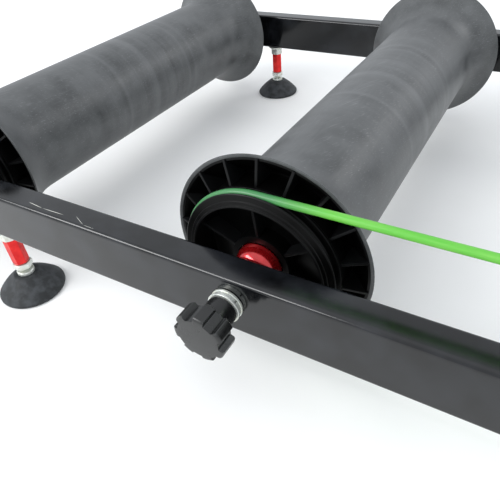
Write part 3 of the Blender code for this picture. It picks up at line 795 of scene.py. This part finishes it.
def buildRail(sideName):
    low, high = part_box("rail_" + sideName)
    bpy.ops.object.select_all(action="DESELECT")
    bpy.ops.mesh.primitive_cube_add(size=1, location=(low + high) / 2, scale=high - low)
    tube = bpy.context.object
    tube.name = sideName + "Rail"
    bpy.ops.object.transform_apply(location=True, rotation=True, scale=True)
    pickEdges(tube, lambda first, second: abs(first.x - second.x) > 0.1)
    bpy.ops.mesh.bevel(offset=rail["corner"] * mm, segments=rail["rounds"], affect="EDGES")
    bpy.ops.mesh.select_mode(type="FACE")
    bpy.ops.mesh.select_all(action="DESELECT")
    bpy.ops.object.mode_set(mode="OBJECT")
    for face in tube.data.polygons:
        face.select = abs(face.normal.x) > 0.9
    bpy.ops.object.mode_set(mode="EDIT")
    bpy.ops.mesh.delete(type="FACE")
    bpy.ops.mesh.select_mode(type="VERT")
    bpy.ops.object.mode_set(mode="OBJECT")
    applied(tube, "SOLIDIFY", {"thickness": rail["wall"] * mm, "offset": -1, "use_even_offset": True})
    side = sides[sideName]
    for name in axleAt:
        drill = turned("drill", [(0, -5), (rail["axleHole"], -5), (rail["axleHole"], 25), (0, 25)], 40)
        drill.data.transform(outboard(name, side, railInnerU))
        cutWith(tube, drill)
    for end in ("rear", "front"):
        foot = middleOf("foot_stud_%s_%s" % (sideName, end))
        drill = turned("drill", [(0, 0), (rail["footHole"], 0), (rail["footHole"], 20), (0, 20)], 40)
        drill.data.transform(Matrix.Translation((foot.x, foot.y, low.z - 5 * mm)))
        cutWith(tube, drill)
    smoothed(tube, 30)
    return applied(tube, "WEIGHTED_NORMAL", {"keep_sharp": True})


def roundedRectangle(width, height, corner, steps=6):
    corners = []
    for quarter, (sx, sy) in enumerate(((1, 1), (-1, 1), (-1, -1), (1, -1))):
        for step in range(steps + 1):
            angle = math.pi / 2 * (quarter + step / steps)
            corners.append((sx * (width / 2 - corner) + corner * math.cos(angle),
                            sy * (height / 2 - corner) + corner * math.sin(angle)))
    return corners


def buildPlug(height, width):
    thick = plug["flange"] + clearance
    cover = raised("railPlug", roundedRectangle(height, width, plug["corner"]), clearance, [
        (thick - 0.9, 1.0), (thick - 0.45, 0.985), (thick - 0.15, 0.96), (thick, 0.92), (thick, 0.7)])
    clear = 2 * (rail["wall"] + clearance)
    block = raised("plugBlock", roundedRectangle(height - clear, width - clear, 1.0), -plug["depth"],
                   [(-plug["depth"] + 1, 1.02), (1.5, 1.02)])
    softEdges(block, 0.3)
    smoothed(cover, 40)
    return joined("railPlug", [cover, block])


plugModel = None
for sideName in sides:
    low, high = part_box("rail_" + sideName)
    fitted(buildRail(sideName), "rail_" + sideName, looks["enamel"])
    plugModel = plugModel or buildPlug((high.z - low.z) / mm, (high.y - low.y) / mm)
    for endName, end, x in (("rear", -1, low.x), ("front", 1, high.x)):
        place = Matrix.Translation((x, (low.y + high.y) / 2, (low.z + high.z) / 2))
        piece = copied(plugModel, "railPlug" + sideName.capitalize() + endName.capitalize(),
                       place @ Matrix.Rotation(end * math.pi / 2, 4, "Y"))
        fitted(piece, "rail_plug_%s_%s" % (sideName, endName), looks["nylon"])
bpy.data.objects.remove(plugModel)
print("rails made")


# drive belt: a half turn round each pulley and two straight runs

belt = {"section": 28, "turnSteps": 64, "runSteps": 12}


def buildBelt():
    rear, front = axleAt["middle"], axleAt["front"]
    y = -(rimY + cap["beltU"] * mm)
    run = front.x - rear.x
    bpy.ops.object.select_all(action="DESELECT")
    bpy.ops.mesh.primitive_circle_add(vertices=belt["section"], radius=cap["beltRadius"] * mm)
    cordPiece = bpy.context.object
    cordPiece.name = "driveBelt"
    top = Matrix.Translation((rear.x, y, rear.z + cap["seatRadius"] * mm))
    cordPiece.data.transform(top @ Matrix.Rotation(math.pi / 2, 4, "Y"))
    bpy.ops.object.mode_set(mode="EDIT")
    bpy.ops.mesh.select_all(action="SELECT")
    for centre, step in ((rear, run), (front, -run)):
        bpy.ops.mesh.spin(steps=belt["turnSteps"], angle=math.pi, center=(centre.x, y, centre.z),
                          axis=(0, 1, 0))
        for _ in range(belt["runSteps"]):
            stretch = {"value": (step / belt["runSteps"], 0, 0)}
            bpy.ops.mesh.extrude_region_move(TRANSFORM_OT_translate=stretch)
    bpy.ops.mesh.select_all(action="SELECT")
    bpy.ops.mesh.remove_doubles(threshold=0.02 * mm)
    bpy.ops.mesh.normals_make_consistent(inside=False)
    bpy.ops.object.mode_set(mode="OBJECT")
    return smoothed(cordPiece, 60)


fitted(buildBelt(), "drive_belt", looks["cord"])
print("belt made")


# levelling feet: heights are mm above the floor

footThread = {"pitch": 1.25, "crest": 4.0, "root": 3.25, "steps": 40}
foot = {
    "padRadius": 27.0, "padTop": 10.5, "padHeight": 18.0, "padEdge": 3.0, "socket": 4.3, "socketFloor": 12.0,
    "collarLow": 18.3, "collarHigh": 21.8, "collar": 7.0, "stud": 4.0, "studTop": 45.9,
    "lockLow": 24.6, "lockHigh": 29.6, "lockFlats": 14.0, "lockBore": 4.1,
    "couplerLow": 29.9, "couplerHigh": 54.4, "couplerFlats": 11.5, "couplerBore": 4.2,
    "boltLow": 54.7, "boltHigh": 63.0, "flangeTop": 64.7, "flange": 10.5, "boltStud": (48.7, 73.0),
}


def buildPad():
    edge, height, wide, top = foot["padEdge"], foot["padHeight"], foot["padRadius"], foot["padTop"]
    slope = []
    for i in range(13):
        t = i / 12
        bulge = 0.9 * math.sin(math.pi * t)          # the cone's side swells a little
        slope.append((wide + (top - wide) * t + bulge * 0.6, edge + (height - edge) * t + bulge * 0.7))
    outline = [(0, 0.6), (wide - 5, 0.6), (wide - 4.2, 0), (wide - 1.2, 0), (wide - 0.3, 0.5), (wide, 1.4)]
    socket, bottom = foot["socket"], foot["socketFloor"]
    outline += slope + [(socket, height), (socket, bottom), (0, bottom)]
    return softEdges(turned("footPad", outline, 96, False), 0.5, 3, 30)


def buildStud():
    low, high, wide, bar = foot["collarLow"], foot["collarHigh"], foot["collar"], foot["stud"]
    bottom = foot["socketFloor"] + clearance
    collar = turned("footStud", [(0, bottom), (bar, bottom), (bar, low), (wide, low), (wide, high - 0.7),
                                 (wide - 1.5, high), (0, high)], 64, False)
    softEdges(collar, 0.3)
    return joined("footStud", [collar, threaded("studThread", high - 0.5, foot["studTop"], footThread)])


def buildBolt():
    low, high, top, flange = foot["boltLow"], foot["boltHigh"], foot["flangeTop"], foot["flange"]
    head = hexBar("footBolt", foot["lockFlats"], low, high)
    disc = turned("boltFlange", [(0, high - 0.6), (flange - 1.8, high - 0.6), (flange, top - 0.9),
                                 (flange, top), (0, top)], 64, False)
    softEdges(disc, 0.2)
    shank = turned("boltShank", [(0, foot["boltStud"][0]), (foot["stud"], foot["boltStud"][0]),
                                 (foot["stud"], foot["boltStud"][1]), (0, foot["boltStud"][1])], 40, False)
    softEdges(shank, 0.3)
    return joined("footBolt", [head, disc, shank])


padModel, studModel = buildPad(), buildStud()
lockModel = hexBar("lockNut", foot["lockFlats"], foot["lockLow"], foot["lockHigh"], foot["lockBore"])
couplerModel = hexBar("coupler", foot["couplerFlats"], foot["couplerLow"], foot["couplerHigh"],
                      foot["couplerBore"])
footModels = (
    ("footPad", "foot_pad", padModel, "rubber", "rubber"),
    ("footStud", "foot_stud", studModel, "zinc", "zinc"),
    ("footLockNut", "foot_lock_nut", lockModel, "zinc", "zinc"),
    ("footCoupler", "foot_coupler", couplerModel, "red_anodised", "coupler"),
    ("footBolt", "foot_bolt", buildBolt(), "zinc", "zinc"),
)
for sideName in sides:
    for endName in ("rear", "front"):
        centre = middleOf("foot_stud_%s_%s" % (sideName, endName))
        place = Matrix.Translation((centre.x, centre.y, 0))
        for label, node, model, slotName, look in footModels:
            piece = copied(model, label + sideName.capitalize() + endName.capitalize(), place)
            fitted(piece, "%s_%s_%s" % (node, sideName, endName), looks[look])
for _, _, model, _, _ in footModels:
    bpy.data.objects.remove(model)
print("feet made")


# floor, lights and camera

studio = {"floor": "fbfbfa", "floorSize": 12.0, "world": "e9edf2", "worldStrength": 1.12}
lamps = [
    # name, place, target, width and height in metres, watts
    ("overhead", (-0.3, -0.2, 2.2), (-0.3, 0.0, 0.0), 2.6, 2.6, 6),
    ("window", (-1.35, -1.35, 1.25), (-0.3, -0.2, 0.1), 1.6, 0.55, 26),
    ("edge", (0.9, 1.6, 1.2), (-0.3, -0.1, 0.1), 0.5, 0.5, 5),
]
camera = {"place": (-0.1767, -0.3895, 0.2815), "turn": (50.4454, 4.0427, 30.1198), "lens": 35.49,
          "sensor": 36.0}


def buildStage():
    bpy.ops.object.select_all(action="DESELECT")
    bpy.ops.mesh.primitive_plane_add(size=studio["floorSize"])
    floor = bpy.context.object
    floor.name = "floor"
    material, tree, shader, where = startMaterial("paleFloor", {"Roughness": 0.9})
    tone = blended(tree, noiseOf(tree, where, 60, 2), studio["floor"], "f7f7f5")
    tree.links.new(tone, shader.inputs["Base Color"])
    floor.data.materials.append(material)
    world = bpy.data.worlds.new("softStudio")
    bpy.context.scene.world = world
    world.use_nodes = True
    background = world.node_tree.nodes["Background"]
    background.inputs["Color"].default_value = paint(studio["world"])
    background.inputs["Strength"].default_value = studio["worldStrength"]
    for name, place, target, width, height, watts in lamps:
        bpy.ops.object.light_add(type="AREA", location=place)
        lamp = bpy.context.object
        lamp.name = name
        lamp.data.shape = "RECTANGLE"
        lamp.data.size = width
        lamp.data.size_y = height
        lamp.data.energy = watts
        lamp.rotation_euler = (Vector(target) - Vector(place)).to_track_quat("-Z", "Y").to_euler()


def buildCamera():
    turn = [math.radians(angle) for angle in camera["turn"]]
    bpy.ops.object.camera_add(location=camera["place"], rotation=turn)
    viewer = bpy.context.object
    viewer.data.sensor_width = camera["sensor"]
    viewer.data.lens = camera["lens"]
    viewer.data.clip_start = 0.01
    bpy.context.scene.camera = viewer


buildStage()
buildCamera()
bpy.context.scene.view_settings.view_transform = "Standard"
print("stage and camera ready")
